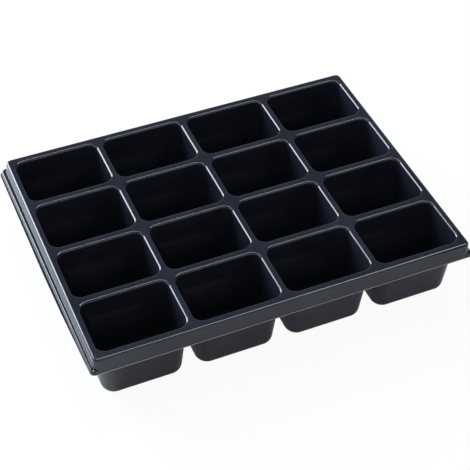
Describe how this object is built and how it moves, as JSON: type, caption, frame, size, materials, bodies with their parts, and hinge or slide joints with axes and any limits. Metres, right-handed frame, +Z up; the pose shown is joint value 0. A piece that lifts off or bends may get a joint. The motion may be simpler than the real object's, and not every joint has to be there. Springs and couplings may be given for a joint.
{
  "type": "compartment tray",
  "caption": "Glossy one-sheet tray with a grid of deep rounded wells, a shallow skirt and a stepped ledge on each side, for laying out coins or other small items.",
  "frame": {"origin": "centre of the tray on the surface it stands on, level with the floors of the wells", "axes": "+X along the long side, with four wells in a row; +Y from the front to the back; +Z up, out of the wells"},
  "size_m": [0.3088, 0.2296, 0.056],
  "materials": {
    "sheet": "glossy black formed sheet, smooth, with a faint orange peel and a plain trimmed edge"
  },
  "bodies": {
    "root": {"deck": "sheet", "skirt": "sheet", "left_ledge": "sheet", "right_ledge": "sheet", "flange": "sheet", "well_r1c1": "sheet", "well_r1c2": "sheet", "well_r1c3": "sheet", "well_r1c4": "sheet", "well_r2c1": "sheet", "well_r2c2": "sheet", "well_r2c3": "sheet", "well_r2c4": "sheet", "well_r3c1": "sheet", "well_r3c2": "sheet", "well_r3c3": "sheet", "well_r3c4": "sheet", "well_r4c1": "sheet", "well_r4c2": "sheet", "well_r4c3": "sheet", "well_r4c4": "sheet"}
  },
  "joints": []
}
